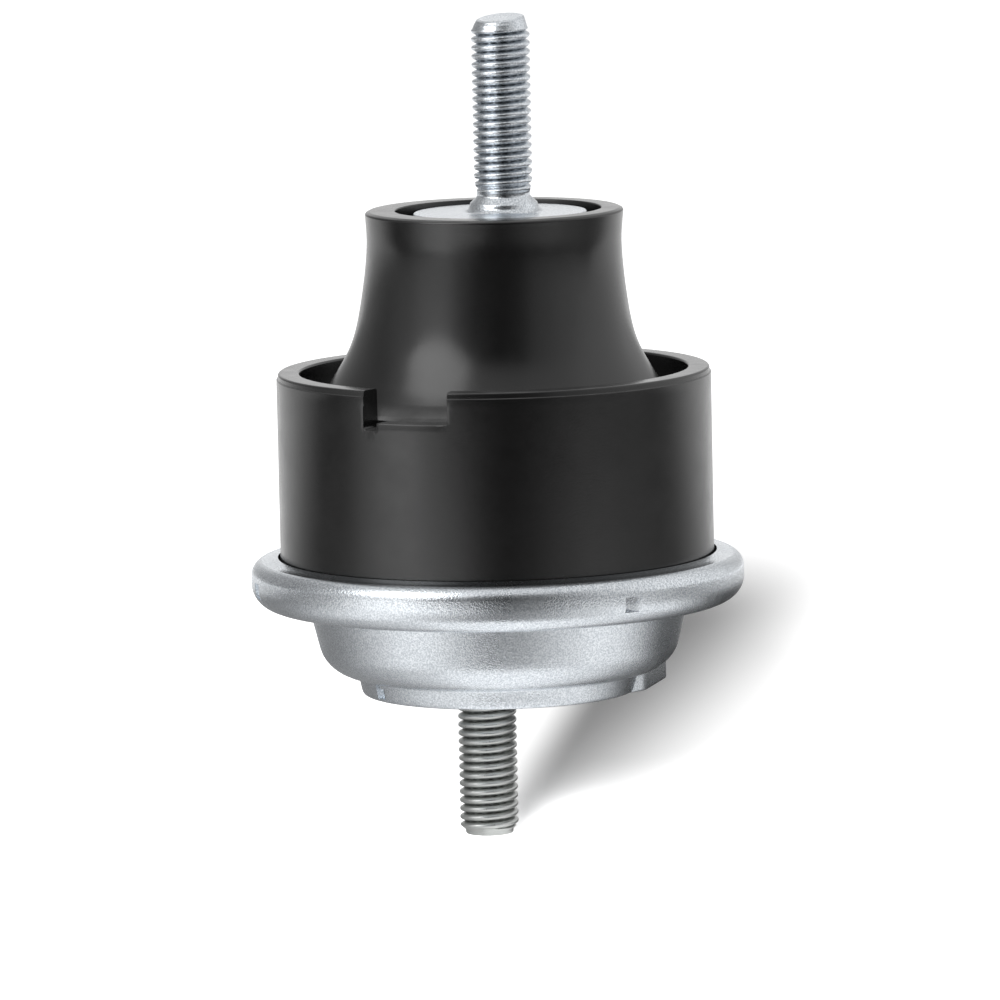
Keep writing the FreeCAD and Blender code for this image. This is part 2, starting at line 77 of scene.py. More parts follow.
# each lamp's name, angle from the camera, angle over the horizon, distance and width in metres,
# power in watts, and whether metal mirrors it
LAMPS = (
    ("key_softbox", -52, 40, 1.2, 0.95, 4.5, True),
    ("shadow_light", -9, 18, 2.0, 0.45, 92.0, False),
)
LAMP_TARGET = Vector((0, 0, 0.045))
# brightness of the room round the horizon, as angle from the camera towards +X and value
ROOM = (
    (-180, 1.0),
    (-150, 0.38),
    (-108, 0.3),
    (-84, 0.6),
    (-62, 1.0),
    (-44, 1.0),
    (-30, 0.4),
    (-13, 0.1),
    (6, 0.05),
    (20, 0.12),
    (40, 0.5),
    (64, 0.72),
    (84, 0.95),
    (130, 0.85),
    (155, 0.6),
    (180, 1.0),
)
# painted light and shade on the card: its brightness as the object mirrors it, at the same angles, from
# far off to right beneath
CARD_FAR = (
    (-180, 0.5),
    (-140, 0.1),
    (-118, 0.07),
    (-100, 0.06),
    (-85, 0.18),
    (-72, 0.6),
    (-58, 1.0),
    (-46, 1.0),
    (-34, 0.32),
    (-22, 0.08),
    (-10, 0.0),
    (8, 0.0),
    (20, 0.0),
    (32, 0.08),
    (52, 0.26),
    (76, 0.42),
    (110, 0.3),
    (145, 0.2),
    (180, 0.35),
)
CARD_MIDDLE = (
    (-180, 0.3),
    (-108, 0.24),
    (-84, 0.4),
    (-60, 0.9),
    (-44, 1.0),
    (-32, 1.0),
    (-22, 0.9),
    (-13, 0.55),
    (-4, 0.2),
    (6, 0.1),
    (15, 0.2),
    (25, 0.36),
    (35, 0.54),
    (46, 0.74),
    (58, 0.78),
    (70, 0.58),
    (95, 0.42),
    (122, 0.4),
    (145, 0.06),
    (165, 0.06),
    (180, 0.3),
)
CARD_NEAR = (
    (-180, 0.3),
    (-116, 0.26),
    (-95, 0.36),
    (-75, 0.62),
    (-56, 0.95),
    (-40, 0.9),
    (-24, 0.6),
    (-12, 0.34),
    (2, 0.18),
    (14, 0.28),
    (36, 0.66),
    (56, 1.0),
    (78, 0.9),
    (92, 0.5),
    (110, 0.12),
    (165, 0.05),
    (180, 0.2),
)
CARD_BENEATH = (
    (-180, 0.3),
    (-110, 0.3),
    (-80, 0.4),
    (-50, 0.62),
    (-20, 0.95),
    (8, 1.0),
    (30, 0.95),
    (60, 0.8),
    (90, 0.4),
    (115, 0.15),
    (180, 0.2),
)
# the mirrored card changes from ring to ring over these distances from the axis, in metres
CARD_RINGS = ((CARD_NEAR, 0.074, 0.086), (CARD_MIDDLE, 0.14, 0.28), (CARD_FAR, 0.48, 0.62))


def linear(code):
    """Linear colour of an sRGB hex code."""
    parts = [int(code[place : place + 2], 16) / 255 for place in (1, 3, 5)]
    return [part / 12.92 if part <= 0.04045 else ((part + 0.055) / 1.055) ** 2.4 for part in parts]


def length(name, description, millimetres):
    """A size in metres, given in millimetres."""
    return bpy.props.FloatProperty(
        name=name,
        description=description,
        default=millimetres * MM,
        precision=5,
        subtype="DISTANCE",
        unit="LENGTH",
    )


def degrees(name, description, value):
    """An angle, given in degrees."""
    return bpy.props.FloatProperty(
        name=name,
        description=description,
        default=math.radians(value),
        subtype="ANGLE",
        unit="ROTATION",
    )


def colour(name, description, code):
    """A colour, given as an sRGB hex code."""
    return bpy.props.FloatVectorProperty(
        name=name,
        description=description,
        default=linear(code),
        min=0.0,
        max=1.0,
        size=3,
        subtype="COLOR",
    )


class StudSizes(bpy.types.PropertyGroup):
    pitch: length("Thread pitch", "Rise of the thread in one turn", 1.75)
    crest: length("Crest radius", "Radius over the crests of the thread", 6.05)
    root: length("Root radius", "Radius at the bottom of the thread", 4.8)
    upper_shift: length("Upper stud offset", "Distance of the upper stud from the body axis", 2.8)
    lower_shift: length("Lower stud offset", "Distance of the lower stud from the body axis", -2.8)
    disc_shift: length("Disc offset", "Distance of the disc's centre from the body axis", 2.0)


class RubberSizes(bpy.types.PropertyGroup):
    band_height: length("Rim band height", "Height of the reduced band under the rim", 1.3)
    band_step: length("Rim band step", "How far the band stands back from the skirt", 0.25)
    wall: length("Skirt wall", "Thickness of the skirt's wall at its rim", 4.85)
    notch_left: degrees("Notch left side", "Angle of the notch's left side from the front", -36.35)
    notch_right: degrees("Notch right side", "Angle of the notch's right side from the front", -12.35)
    relief_end: degrees("Relief end", "Angle of the relief slot's right side from the front", -32.35)
    notch_floor: length("Notch floor", "Height of the notch's floor", 60.4)
    relief_floor: length("Relief floor", "Height of the relief slot's floor", 58.85)
    seam: degrees("Mould seam", "Angle of the mould's parting line from the front", 36.2)


class CupSizes(bpy.types.PropertyGroup):
    sheet: length("Sheet", "Thickness of the pressed sheet", 1.8)
    stake_depth: length("Stake depth", "Depth of the staking marks", 1.3)
    stake_length: length("Stake length", "Run of the staking marks round the rim", 8.0)
    pad_proud: length("Pad height", "How far the pad stands out of the base step", 0.45)
    lug_height: length("Lug height", "Height of the locating lug", 9.0)


class Finishes(bpy.types.PropertyGroup):
    rubber: colour("Rubber", "Black moulded natural rubber", "#050505")
    # the pale colour of the rubber's top faces is partly dust and partly painted sheen
    rubber_dust_and_sheen: colour("Rubber dust", "Pale bloom on the rubber's top faces", "#3c3c3c")
    zinc: colour("Zinc", "Bright zinc plating", "#ebeff3")
    zinc_dark: colour("Zinc shade", "Darker crystals of the zinc plating", "#a2aab2")
    steel: colour("Stud steel", "Plain steel of the lower stud", "#c8cac8")
    casting: colour("Casting", "Die-cast aluminium of the hidden pieces", "#b4b6b8")
    floor: colour("Floor", "White card of the studio floor", "#f2f2f2")


class StudioSizes(bpy.types.PropertyGroup):
    distance: length("Camera distance", "Distance from the camera to the body axis", 1900.0)
    lens: bpy.props.FloatProperty(
        name="Lens",
        description="Focal length for a 36 mm sensor",
        default=331.5,
        subtype="DISTANCE_CAMERA",
    )
    elevation: degrees("Camera elevation", "Height of the camera over the horizon", 7.22)
    roll: degrees("Camera roll", "Turn of the camera about its own axis", -1.2)
    aim_height: length("Aim height", "Height on the body axis that the aim is counted from", 30.0)
    aim_right: length("Aim right", "How far right of the body axis the camera aims", 0.56)
    aim_up: length("Aim up", "How far over the aim height the camera aims", 9.47)


class MountSettings(bpy.types.PropertyGroup):
    studs: bpy.props.PointerProperty(type=StudSizes)
    rubber: bpy.props.PointerProperty(type=RubberSizes)
    cup: bpy.props.PointerProperty(type=CupSizes)
    finishes: bpy.props.PointerProperty(type=Finishes)
    studio: bpy.props.PointerProperty(type=StudioSizes)


# Shapes


def section(corners):
    """Wire of a section in the XZ plane: each corner is radius, height and round, in millimetres."""
    bm = bmesh.new()
    points = [Vector((corner[0], 0, corner[1])) * MM for corner in corners]
    verts = [bm.verts.new(point) for point in points]
    for start, end in zip(verts, verts[1:]):
        bm.edges.new((start, end))
    for index, corner in enumerate(corners):
        if corner[2] <= 0:
            continue
        back = points[index - 1] - points[index]
        ahead = points[(index + 1) % len(points)] - points[index]
        opening = back.angle(ahead)
        bmesh.ops.bevel(
            bm,
            geom=[verts[index]],
            offset=corner[2] * MM / math.tan(opening / 2),
            offset_type="OFFSET",
            affect="VERTICES",
            segments=max(2, round((math.pi - opening) / math.radians(9))),
            profile=0.5,
            material=-1,
            clamp_overlap=False,
        )
    return bm


def cut_long_edges(bm, longest):
    """Divides the long edges of a wire into equal lengths."""
    for edge in list(bm.edges):
        cuts = math.ceil(edge.calc_length() / longest) - 1
        if cuts > 0:
            bmesh.ops.subdivide_edges(bm, edges=[edge], cuts=cuts)


def turn_section(bm, steps, start=0.0):
    """Turns a section once about the body axis and closes its seam and poles."""
    bmesh.ops.spin(
        bm,
        geom=bm.verts[:] + bm.edges[:],
        cent=(0, 0, 0),
        axis=(0, 0, 1),
        dvec=(0, 0, 0),
        angle=2 * math.pi,
        steps=steps,
        use_merge=True,
        use_normal_flip=False,
        use_duplicate=False,
    )
    bmesh.ops.remove_doubles(bm, verts=bm.verts[:], dist=1e-6)
    bmesh.ops.rotate(bm, verts=bm.verts[:], cent=(0, 0, 0), matrix=Matrix.Rotation(start, 3, "Z"))
    bmesh.ops.recalc_face_normals(bm, faces=bm.faces[:])


def bearing(point):
    """Angle of a point from the front, counted towards +X."""
    return math.atan2(point.x, -point.y)


def at_bearing(angle, radius, height=0.0):
    """Point at an angle from the front."""
    return Vector((radius * math.sin(angle), -radius * math.cos(angle), height))


def out_of_axis(point):
    """Distance of a point from the body axis."""
    return math.hypot(point.x, point.y)


def finish_piece(bm, name, material, nodes):
    """Makes the object of a piece, shades it and ties it to the frame."""
    mesh = bpy.data.meshes.new(name)
    bm.normal_update()
    for face in bm.faces:
        face.smooth = True
    limit = math.radians(35)
    for edge in bm.edges:
        edge.smooth = edge.is_manifold and edge.calc_face_angle(0) < limit
    bm.to_mesh(mesh)
    bm.free()
    mesh.materials.append(material)
    piece = bpy.data.objects.new(name, mesh)
    bpy.context.scene.collection.objects.link(piece)
    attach(piece, BODY)
    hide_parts(*nodes)


def smooth_step(low, high, value):
    """Eases from 0 at low to 1 at high."""
    share = min(max((value - low) / (high - low), 0), 1)
    return share * share * (3 - 2 * share)


def cut_thread(bm, sizes, low, high, fade_low, fade_high):
    """Presses a right-hand thread into a finely divided shaft on the body axis, and marks its roots."""
    depth_layer = bm.verts.layers.float.new("thread_depth")
    middle = (sizes.crest + sizes.root) / 2
    swing = sizes.crest - sizes.root
    for vert in bm.verts:
        height = vert.co.z
        if not low <= height <= high:
            continue
        phase = height / sizes.pitch - math.atan2(vert.co.y, vert.co.x) / (2 * math.pi)
        ridge = 1 - abs(2 * (phase % 1.0) - 1)
        rise = 1 - (1 - ridge) ** 2.6
        fade = smooth_step(low, low + fade_low, height) * smooth_step(high, high - fade_high, height)
        plain = out_of_axis(vert.co)
        radius = middle + swing * (rise - 0.5)
        wanted = plain + (radius - plain) * fade
        vert.co.x *= wanted / plain
        vert.co.y *= wanted / plain
        vert[depth_layer] = (1 - rise) * fade


def build_upper_stud(settings, material):
    """Upper stud with its rolled thread, flared neck and disc."""
    sizes = settings.studs
    low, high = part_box("upper_stud")
    tip = high.z / MM
    disc_top = tip - 40.6
    rod = section(
        [
            (0, low.z / MM, 0),
            (6.5, low.z / MM, 0),
            (6.5, disc_top - 2, 0),
            (9.4, disc_top - 1.4, 0),
            (9.4, disc_top - 0.1, 0),
            (8.0, disc_top + 0.1, 0.8),
            (7.1, disc_top + 0.9, 0.7),
            (6.95, disc_top + 1.8, 0.7),
            (5.5, disc_top + 3.2, 0.6),
            (5.42, disc_top + 4.2, 0),
            (5.42, tip - 3.0, 0),
            (5.38, tip - 1.9, 0.4),
            (4.95, tip - 0.25, 0.35),
            (4.2, tip, 0.6),
            (2.4, tip - 0.3, 1.5),
            (0, tip - 0.4, 0),
        ]
    )
    threaded = [edge for edge in rod.edges if edge.calc_length() > 20 * MM]
    bmesh.ops.subdivide_edges(rod, edges=threaded, cuts=300)
    turn_section(rod, 144)
    cut_thread(rod, sizes, (disc_top + 3.0) * MM, (tip - 2.1) * MM, 4.2 * MM, 1.3 * MM)
    # the tip is a little worn and out of square
    tilt_right, tilt_back, worn = 0.085, 0.11, 0.6 * MM
    for vert in rod.verts:
        share = smooth_step(tip - 2.4, tip - 0.4, vert.co.z / MM)
        vert.co.z += (tilt_right * vert.co.x + tilt_back * vert.co.y - worn) * share
    bmesh.ops.translate(rod, verts=rod.verts[:], vec=(sizes.upper_shift, 0, 0))
    disc = section(
        [
            (0, disc_top - 3, 0),
            (17.9, disc_top - 3, 0.4),
            (17.9, disc_top, 0.45),
            (0, disc_top, 0),
        ]
    )
    cut_long_edges(disc, 1.5 * MM)
    turn_section(disc, 192)
    bmesh.ops.translate(disc, verts=disc.verts[:], vec=(sizes.disc_shift, 0, 0))
    spare = bpy.data.meshes.new("disc")
    disc.to_mesh(spare)
    disc.free()
    rod.from_mesh(spare)
    bpy.data.meshes.remove(spare)
    finish_piece(rod, "threaded_upper_stud", material, ["upper_stud"])


def build_lower_stud(settings, material):
    """Lower stud with its rolled thread."""
    sizes = settings.studs
    low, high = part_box("lower_stud")
    tip = low.z / MM
    rod = section(
        [
            (0, high.z / MM, 0),
            (11, high.z / MM, 0.5),
            (11, 1.8, 0),
            (6.5, 1.8, 0),
            (6.5, 0, 0),
            (5.42, 0, 0),
            (5.42, -0.6, 0),
            (5.42, tip + 1.4, 0),
            (4.95, tip + 0.9, 0.3),
            (4.9, tip, 0.35),
            (0, tip, 0),
        ]
    )
    threaded = [edge for edge in rod.edges if edge.calc_length() > 20 * MM]
    bmesh.ops.subdivide_edges(rod, edges=threaded, cuts=256)
    turn_section(rod, 144)
    cut_thread(rod, sizes, (tip + 1.1) * MM, -0.6 * MM, 0.8 * MM, 2.6 * MM)
    bmesh.ops.translate(rod, verts=rod.verts[:], vec=(sizes.lower_shift, 0, 0))
    finish_piece(rod, "threaded_lower_stud", material, ["lower_stud"])


def cone_radius(share):
    """Radius of the cone in millimetres at a share of its height."""
    last = len(CONE_SHAPE) - 1
    place = max(index for index in range(last) if CONE_SHAPE[index][0] <= share)
    slopes = []
    for index in (place, place + 1):
        before = CONE_SHAPE[max(index - 1, 0)]
        after = CONE_SHAPE[min(index + 1, last)]
        slopes.append((after[1] - before[1]) / (after[0] - before[0]))
    (start, low), (end, high) = CONE_SHAPE[place], CONE_SHAPE[place + 1]
    step = end - start
    local = (share - start) / step
    return (
        (2 * local**3 - 3 * local**2 + 1) * low
        + (local**3 - 2 * local**2 + local) * step * slopes[0]
        + (3 * local**2 - 2 * local**3) * high
        + (local**3 - local**2) * step * slopes[1]
    )


def build_rubber(settings, material):
    """Rubber moulding: skirt with its notch, groove, cone and collar, and the cavity underneath."""
    sizes = settings.rubber
    low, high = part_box("rubber_spring")
    skirt = 44.75
    top = 66.9
    collar_top = high.z / MM
    foot = 61.3
    groove = skirt - sizes.wall / MM
    band = skirt - sizes.band_step / MM
    band_bottom = top - sizes.band_height / MM
    corners = [
        (0, 57.6, 0),
        (9, 57.6, 5),
        (39.3, 36.35, 5),
        (39.3, low.z / MM, 0),
        (44.1, low.z / MM, 0),
        (skirt, 26.45, 0),
        (skirt, sizes.relief_floor / MM, 0),
        (skirt, sizes.notch_floor / MM, 0),
        (skirt, band_bottom, 0.12),
        (band, band_bottom + 0.12, 0.1),
        (band - 0.1, top, 0.5),
        (groove + 0.1, top, 0.5),
        (groove, sizes.notch_floor / MM, 0),
        (groove, 59.9, 0.4),
        (37.4, 60.87, 0.9),
    ]
    levels = 40
    for level in range(1, levels):
        share = level / levels
        corners.append((cone_radius(share), foot + (collar_top - foot) * share, 0))
    corners += [
        (26.6, collar_top - 0.45, 0.5),
        (25.7, collar_top, 0.6),
        (21.2, collar_top, 0.3),
        (21.0, collar_top - 3.6, 0),
        (0, collar_top - 3.6, 0),
    ]
    bm = section(corners)
    cut_long_edges(bm, 2.5 * MM)
    turn_section(bm, 360, start=math.radians(-0.35))
    cut_notch(bm, sizes, skirt * MM, groove * MM)
    lean_collar(bm, foot * MM, collar_top * MM)
    finish_piece(bm, "rubber_moulding", material, ["rubber_spring"])


def lean_collar(bm, foot, top):
    """Moves the cone's circles towards the upper stud with their height, and the recess further."""
    collar_shift, recess_shift = 0.8 * MM, 1.6 * MM
    groove, recess, recess_depth = 38 * MM, 21.5 * MM, 3.7 * MM
    for vert in bm.verts:
        if vert.co.z < foot - 0.5 * MM or out_of_axis(vert.co) > groove:
            continue
        share = min(max((vert.co.z - foot) / (top - foot), 0), 1)
        in_recess = vert.co.z > top - recess_depth and out_of_axis(vert.co) < recess
        vert.co.x += recess_shift if in_recess else collar_shift * share


def cut_notch(bm, sizes, skirt, groove):
    """Opens the notch and its relief slot in the skirt, and rounds their edges."""
    left, right, relief = sizes.notch_left, sizes.notch_right, sizes.relief_end
    margin = 0.05 * MM
    gone = []
    for face in bm.faces:
        middle = face.calc_center_median()
        in_wall = out_of_axis(middle) > groove - margin and middle.z > sizes.notch_floor
        if in_wall and left < bearing(middle) < right:
            gone.append(face)
    bmesh.ops.delete(bm, geom=gone, context="FACES")
    arcs = []
    for edge in bm.edges:
        level = all(abs(vert.co.z - sizes.notch_floor) < 0.001 * MM for vert in edge.verts)
        if edge.is_boundary and level:
            arcs.append(edge)
    floor = bmesh.ops.bridge_loops(bm, edges=arcs)["faces"]
    open_edges = []
    for edge in bm.edges:
        if edge.is_boundary and all(vert.co.z > 50 * MM for vert in edge.verts):
            open_edges.append(edge)
    bmesh.ops.holes_fill(bm, edges=open_edges, sides=0)
    slot_floor = [face for face in floor if bearing(face.calc_center_median()) < relief]
    sunk = bmesh.ops.extrude_face_region(bm, geom=slot_floor)["geom"]
    for item in sunk:
        if isinstance(item, bmesh.types.BMVert):
            item.co.z = sizes.relief_floor
    bmesh.ops.delete(bm, geom=[face for face in slot_floor if face.is_valid], context="FACES")
    gone = []
    for face in bm.faces:
        middle = face.calc_center_median()
        at_slot = left < bearing(middle) < relief and out_of_axis(middle) > skirt - 0.2 * MM
        if at_slot and sizes.relief_floor < middle.z < sizes.notch_floor:
            gone.append(face)
    bmesh.ops.delete(bm, geom=gone, context="FACES")
    bmesh.ops.remove_doubles(bm, verts=bm.verts[:], dist=1e-6)
    bmesh.ops.recalc_face_normals(bm, faces=bm.faces[:])
    round_notch(bm, sizes, skirt, groove)


def round_notch(bm, sizes, skirt, groove):
    """Rounds the lower corners of the notch and of its slot, then their outer edges."""
    left, right = sizes.notch_left, sizes.notch_right
    margin, bent = math.radians(0.3), math.radians(40)
    slack, band_bottom = 0.1 * MM, 65.4 * MM
    bm.normal_update()
    corners = []
    for edge in bm.edges:
        ends = [vert.co for vert in edge.verts]
        top, foot = max(end.z for end in ends), min(end.z for end in ends)
        level = top < sizes.notch_floor + slack and foot > sizes.relief_floor - 0.85 * MM
        radii = [out_of_axis(end) for end in ends]
        radial = abs(radii[0] - radii[1]) > 2 * MM and min(radii) > groove - slack
        between = all(left - margin < bearing(end) < right + margin for end in ends)
        if level and radial and between and not edge.is_convex and edge.calc_face_angle(0) > bent:
            corners.append(edge)
    round_edges(bm, corners, 0.8 * MM, 5)
    bm.normal_update()
    sharp = []
    for edge in bm.edges:
        ends = [vert.co for vert in edge.verts]
        outer = min(out_of_axis(end) for end in ends) > skirt - 0.06 * MM
        between = all(left - margin < bearing(end) < right + margin for end in ends)
        top, foot = max(end.z for end in ends), min(end.z for end in ends)
        level = top < band_bottom and foot > sizes.relief_floor - slack
        if outer and between and level and edge.calc_face_angle(0) > bent:
            sharp.append(edge)
    round_edges(bm, sharp, 0.24 * MM, 2)


def round_edges(bm, edges, size, segments):
    """Rounds edges of a mesh."""
    bmesh.ops.bevel(
        bm,
        geom=edges,
        offset=size,
        offset_type="OFFSET",
        affect="EDGES",
        segments=segments,
        profile=0.5,
        material=-1,
        clamp_overlap=False,
    )


def build_cup(settings, material):
    """Pressed cup with its rolled rim, lug, pad and staking marks."""
    sizes = settings.cup
    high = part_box("lower_cup")[1]
    rim = 50.85
    bm = section(
        [
            (0, 0, 0),
            (28.35, 0, 0.9),
            (29.3, 4.1, 0.5),
            (35.6, 4.1, 7.4),
            (39.23, 18.55, 1.0),
            (rim, 18.55, 4.85),
            (rim, 27.5, 3.0),
            (48.55, 28.2, 0.4),
            (48.3, 28.13, 0),
            (45.3, high.z / MM, 0),
        ]
    )
    cut_long_edges(bm, 1.6 * MM)
    turn_section(bm, 432)
    bmesh.ops.solidify(bm, geom=bm.faces[:], thickness=sizes.sheet)
    bm.normal_update()
    depth, proud = -sizes.stake_depth, sizes.pad_proud
    for angle in RIM_STAKES:
        press_mark(bm, angle, sizes.stake_length, rim, 23.1, 3.2, depth, 0.0)
    step = 29.0
    press_mark(bm, -59.5, 4.2 * MM, step, 1.9, 2.2, depth, 0.0)
    press_mark(bm, -66.2, 3.4 * MM, step, 2.3, 3.2, proud, proud)
    add_lug(bm, sizes)
    finish_piece(bm, "pressed_cup", material, ["lower_cup"])


def press_mark(bm, angle, run, radius, height, width, start_depth, end_depth):
    """Presses a mark into the outside of the cup, deep at its left end, or raises a pad.

    The angle is in degrees, and radius, height and width are in millimetres.
    """
    angle = math.radians(angle)
    radius, height, width = radius * MM, height * MM, width * MM
    end = angle + run / radius
    margin, round_margin, shell = 2 * MM, 0.06, 1.6 * MM
    near = []
    for face in bm.faces:
        middle = face.calc_center_median()
        turn = bearing(middle)
        outside = face.normal.dot(Vector((middle.x, middle.y, 0))) > 0
        level = abs(middle.z - height) < width / 2 + margin
        beside = angle - round_margin < turn < end + round_margin
        if level and beside and outside and out_of_axis(middle) > radius - shell:
            near.append(face)
    planes = [
        (at_bearing(angle, radius), at_bearing(angle + math.pi / 2, 1)),
        (at_bearing(end, radius), at_bearing(end + math.pi / 2, 1)),
        (Vector((0, 0, height - width / 2)), Vector((0, 0, 1))),
        (Vector((0, 0, height + width / 2)), Vector((0, 0, 1))),
    ]
    for point, normal in planes:
        around = {vert for face in near for vert in face.verts}
        edges = {edge for face in near for edge in face.edges}
        geom = list(near) + list(edges) + list(around)
        cut = bmesh.ops.bisect_plane(bm, geom=geom, dist=1e-7, plane_co=point, plane_no=normal)
        near = [item for item in cut["geom"] if isinstance(item, bmesh.types.BMFace)]
    marked = []
    for face in near:
        middle = face.calc_center_median()
        if angle < bearing(middle) < end and abs(middle.z - height) < width / 2:
            marked.append(face)
    pressed = bmesh.ops.extrude_face_region(bm, geom=marked)["geom"]
    bmesh.ops.delete(bm, geom=[face for face in marked if face.is_valid], context="FACES")
    deep_share = 0.45
    for item in pressed:
        if isinstance(item, bmesh.types.BMVert):
            share = (bearing(item.co) - angle) / (end - angle)
            depth = end_depth + (start_depth - end_depth) * max(0, 1 - share / deep_share)
            depth -= 0.02 * MM if start_depth < 0 else 0
            outward = Vector((item.co.x, item.co.y, 0)).normalized()
            item.co += outward * depth


def add_lug(bm, sizes):
    """Locating lug beside the base, a round-cornered prism that runs up into the cup's corner."""
    step, inner = 29.3, 10 * MM
    corners = [at_bearing(math.radians(angle), (step + out) * MM) for angle, out in LUG_CORNERS]
    start = at_bearing(math.radians(72.7), 28.4 * MM)
    plan = [start] + corners + [Vector((inner, corners[-1].y, 0)), Vector((inner, start.y, 0))]
    verts = [bm.verts.new(point) for point in plan]
    plate = bm.faces.new(verts)
    bmesh.ops.bevel(
        bm,
        geom=verts[1:4],
        offset=1.2 * MM,
        offset_type="OFFSET",
        affect="VERTICES",
        segments=6,
        profile=0.5,
        material=-1,
        clamp_overlap=True,
    )
    plate = max((face for face in bm.faces if len(face.verts) > 10), key=lambda face: len(face.verts))
    outline = list(plate.edges)
    raised = bmesh.ops.extrude_face_region(bm, geom=[plate], use_keep_orig=True)["geom"]
    lifted = [item for item in raised if isinstance(item, bmesh.types.BMVert)]
    bmesh.ops.translate(bm, verts=lifted, vec=(0, 0, sizes.lug_height))
    shell = {plate}
    for item in raised:
        if isinstance(item, bmesh.types.BMFace):
            shell.add(item)
    for edge in outline:
        shell.update(edge.link_faces)
    bmesh.ops.recalc_face_normals(bm, faces=list(shell))
    bmesh.ops.bevel(
        bm,
        geom=outline,
        offset=0.6 * MM,
        offset_type="OFFSET",
        affect="EDGES",
        segments=3,
        profile=0.5,
        material=-1,
        clamp_overlap=True,
    )


# Materials


def add_node(tree, kind, settings=None, inputs=None):
    """Adds a node, sets its own settings, and fills or links its sockets."""
    made = tree.nodes.new(kind)
    for name, value in (settings or {}).items():
        setattr(made, name, value)
    for name, value in (inputs or {}).items():
        if isinstance(value, bpy.types.NodeSocket):
            tree.links.new(value, made.inputs[name])
        else:
            made.inputs[name].default_value = value
    return made


def maths(tree, operation, *values):
    """Result of a maths node."""
    return add_node(tree, "ShaderNodeMath", {"operation": operation}, dict(enumerate(values))).outputs[0]


def ramp(tree, value, low, high, start=0.0, end=1.0, kind="LINEAR"):
    """Result that runs from start to end as a value runs from low to high."""
    inputs = {"Value": value, "From Min": low, "From Max": high, "To Min": start, "To Max": end}
    return add_node(tree, "ShaderNodeMapRange", {"interpolation_type": kind}, inputs).outputs["Result"]


def ease(tree, value, low, high):
    """Smooth ramp from 0 at low to 1 at high."""
    return ramp(tree, value, low, high, kind="SMOOTHSTEP")


def blend(tree, share, first, second, kind="RGBA"):
    """Mix of two colours or two numbers."""
    inputs = {"Factor": share, "A": first, "B": second}
    return add_node(tree, "ShaderNodeMix", {"data_type": kind}, inputs).outputs["Result"]


def noise(tree, place, scale, detail, roughness):
    """Noise pattern; the scale is patches to the metre."""
    inputs = {"Vector": place, "Scale": scale, "Detail": detail, "Roughness": roughness}
    return add_node(tree, "ShaderNodeTexNoise", {}, inputs).outputs["Fac"]


def bump(tree, height, strength, depth):
    """Normal of a surface with a fine pattern of some depth in metres."""
    inputs = {"Strength": strength, "Distance": depth, "Height": height}
    return add_node(tree, "ShaderNodeBump", {}, inputs).outputs["Normal"]


def axes_of(tree, vector):
    """The three parts of a vector."""
    return add_node(tree, "ShaderNodeSeparateXYZ", {}, {0: vector}).outputs


def new_material(name):
    """Empty node material, its output node and the place on the object in metres."""
    material = bpy.data.materials.new(name)
    material.use_nodes = True
    tree = material.node_tree
    tree.nodes.clear()
    output = tree.nodes.new("ShaderNodeOutputMaterial")
    place = add_node(tree, "ShaderNodeTexCoord").outputs["Object"]
    return material, tree, output, place


def add_surface(tree, output, **inputs):
    """Surface shader of a material, whose inputs are named with underscores for spaces."""
    named = {name.replace("_", " "): value for name, value in inputs.items()}
    shader = add_node(tree, "ShaderNodeBsdfPrincipled", {}, named)
    tree.links.new(shader.outputs[0], output.inputs["Surface"])


def rgba(value):
    """Colour with its alpha."""
    return (value[0], value[1], value[2], 1.0)


def make_rubber(settings):
    """Moulded natural rubber: black and satin, with the fine matte grain of a blasted mould, and top
    faces paled by dust and painted sheen.
    """
    finishes = settings.finishes
    material, tree, output, place = new_material("moulded_rubber_satin_black")
    # grain of the blasted mould is about 0.4 mm across
    grain = noise(tree, place, 2600.0, 3.0, 0.6)
    # cloudy bloom and handling marks are some 6 mm across
    cloud = noise(tree, place, 160.0, 4.0, 0.6)
    # dust and a painted sheen lie on faces that look up: their pale grey partly stands in for the bright
    # room that such faces mirror
    normal = add_node(tree, "ShaderNodeNewGeometry").outputs["Normal"]
    top_face = ease(tree, axes_of(tree, normal)["Z"], 0.6, 0.98)
    dust_and_sheen = maths(tree, "MULTIPLY", top_face, ramp(tree, cloud, 0.35, 0.7, 0.35, 1.0))
    clean = blend(tree, dust_and_sheen, rgba(finishes.rubber), rgba(finishes.rubber_dust_and_sheen))
    # mould lines are thin, dark and a little sunk
    seam = seam_mask(tree, place, settings.rubber.seam)
    relief = maths(tree, "ADD", grain, maths(tree, "MULTIPLY", seam, -3.0))
    add_surface(
        tree,
        output,
        Base_Color=blend(tree, seam, clean, (0.002, 0.002, 0.002, 1.0)),
        Roughness=ramp(tree, cloud, 0.3, 0.7, 0.2, 0.27),
        Normal=bump(tree, relief, 0.25, 0.04 * MM),
        Specular_IOR_Level=0.62,
        IOR=1.52,
    )
    return material


def seam_mask(tree, place, angle):
    """Mask of the fine mould lines: two down the skirt, and one across the collar's top face."""
    axes = axes_of(tree, place)
    across = {0: place, 1: (math.cos(angle), math.sin(angle), 0.0)}
    side = add_node(tree, "ShaderNodeVectorMath", {"operation": "DOT_PRODUCT"}, across).outputs["Value"]
    near = maths(tree, "COMPARE", side, 0.0, 0.12 * MM)
    below = maths(tree, "LESS_THAN", axes["Z"], 66.5 * MM)
    line = maths(tree, "COMPARE", axes["Y"], -0.4 * MM, 0.18 * MM)
    above = maths(tree, "GREATER_THAN", axes["Z"], 99.2 * MM)
    skirt = maths(tree, "MULTIPLY", near, below)
    collar = maths(tree, "MULTIPLY", line, above)
    return maths(tree, "MAXIMUM", skirt, collar)


